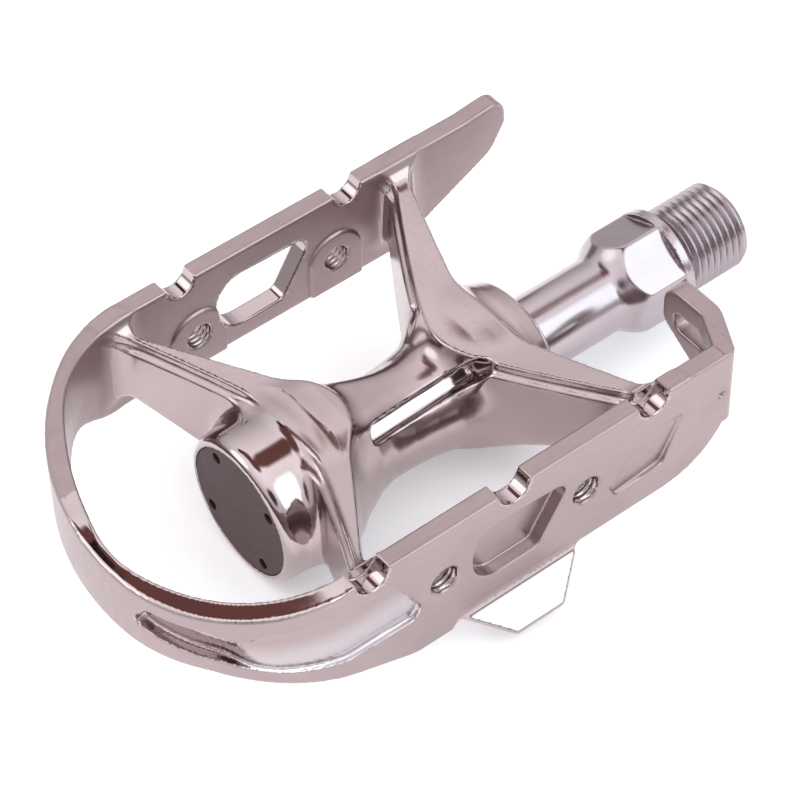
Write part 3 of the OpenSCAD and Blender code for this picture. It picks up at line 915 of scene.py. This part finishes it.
def build_floor():
    """Pale paper under the pedal."""
    material, shader = new_material("floor_paper", (0.93, 0.925, 0.93), 0.0, 0.9,
                                    Emission_Color=(0.93, 0.95, 1, 1), Emission_Strength=0.28)
    fibre = noise(material, coordinates(material), 0.05, 3)
    bump(material, shader, fibre, 0.01)
    bpy.ops.mesh.primitive_plane_add(size=12, location=(-0.05, 0, FLOOR_Z * MM))
    floor = bpy.context.object
    floor.name = "floor"
    floor.data.materials.append(material)


def aim(obj, target):
    direction = Vector(target) - obj.location
    obj.rotation_euler = direction.to_track_quat("-Z", "Y").to_euler()


def softbox(name, place, target, size, power, colour):
    """A large area lamp. It lights the floor but isn't seen in the metal."""
    light = bpy.data.lights.new(name, "AREA")
    light.shape = "RECTANGLE"
    light.size, light.size_y = size
    light.energy = power
    light.color = colour
    obj = bpy.data.objects.new(name, light)
    bpy.context.scene.collection.objects.link(obj)
    obj.location = place
    aim(obj, target)
    obj.visible_glossy = False


def card(world, colour, direction, inner, outer, light):
    """A soft-edged round card in the studio: light, from inner to outer degrees round direction."""
    nodes, links = world.node_tree.nodes, world.node_tree.links
    where = nodes.new("ShaderNodeTexCoord")
    dot = nodes.new("ShaderNodeVectorMath")
    dot.operation = "DOT_PRODUCT"
    dot.inputs[1].default_value = Vector(direction).normalized()
    edge = nodes.new("ShaderNodeMapRange")
    edge.interpolation_type = "SMOOTHSTEP"
    edge.inputs["From Min"].default_value = math.cos(math.radians(outer))
    edge.inputs["From Max"].default_value = math.cos(math.radians(inner))
    mix = nodes.new("ShaderNodeMix")
    mix.data_type = "RGBA"
    mix.clamp_factor = True
    links.new(where.outputs["Generated"], dot.inputs[0])
    links.new(dot.outputs["Value"], edge.inputs["Value"])
    links.new(edge.outputs["Result"], mix.inputs[0])
    links.new(colour, mix.inputs[6])
    mix.inputs[7].default_value = (*light, 1)
    return mix.outputs[2]


def build_lights():
    """One softbox, and a studio that grows lighter upwards with cards to reflect."""
    centre = (-0.05, 0, 0)
    softbox("key", (-0.25, 0.25, 0.9), centre, (0.7, 0.7), 1.8, (1, 0.99, 0.985))
    world = bpy.data.worlds.new("studio")
    bpy.context.scene.world = world
    world.use_nodes = True
    nodes, links = world.node_tree.nodes, world.node_tree.links
    where = nodes.new("ShaderNodeTexCoord")
    split = nodes.new("ShaderNodeSeparateXYZ")
    ramp = nodes.new("ShaderNodeValToRGB")
    links.new(where.outputs["Generated"], split.inputs["Vector"])
    links.new(split.outputs["Z"], ramp.inputs["Fac"])
    low, high = ramp.color_ramp.elements
    low.position, low.color = 0.0, (0.5, 0.48, 0.49, 1)
    high.position, high.color = 1.0, (1.75, 1.76, 1.8, 1)
    middle = ramp.color_ramp.elements.new(0.4)
    middle.color = (0.9, 0.9, 0.93, 1)
    colour = ramp.outputs["Color"]
    for direction, inner, outer, light in STUDIO_CARDS:
        colour = card(world, colour, direction, inner, outer, light)
    links.new(colour, nodes["Background"].inputs["Color"])
    bpy.context.scene.view_settings.view_transform = "Standard"


def build_camera():
    """The photograph's viewing angle: 37.5 degrees round and 48.2 up, on a long lens."""
    azimuth, elevation, roll = math.radians(-37.475), math.radians(48.226), math.radians(-1.272)
    back = Vector((math.sin(azimuth) * math.cos(elevation), -math.cos(azimuth) * math.cos(elevation),
                   math.sin(elevation)))
    right = Vector((math.cos(azimuth), math.sin(azimuth), 0))
    up = back.cross(right)
    across = right * math.cos(roll) + up * math.sin(roll)
    upward = up * math.cos(roll) - right * math.sin(roll)
    shift = Vector((-1.601, -3.134, -481.889))
    place = -(across * shift.x + upward * shift.y + back * shift.z)
    place.x -= 52.7
    camera = bpy.data.objects.new("camera", bpy.data.cameras.new("camera"))
    bpy.context.scene.collection.objects.link(camera)
    turn = Matrix((across, upward, back)).transposed()
    camera.matrix_world = Matrix.Translation(place * MM) @ turn.to_4x4()
    camera.data.sensor_width = 36
    camera.data.lens = 147.66
    camera.data.clip_start, camera.data.clip_end = 0.01, 20
    bpy.context.scene.camera = camera


build_camera()
build_floor()
build_lights()
build_casting()
build_spindle()
build_dust_cap()
dress_cad_nodes()
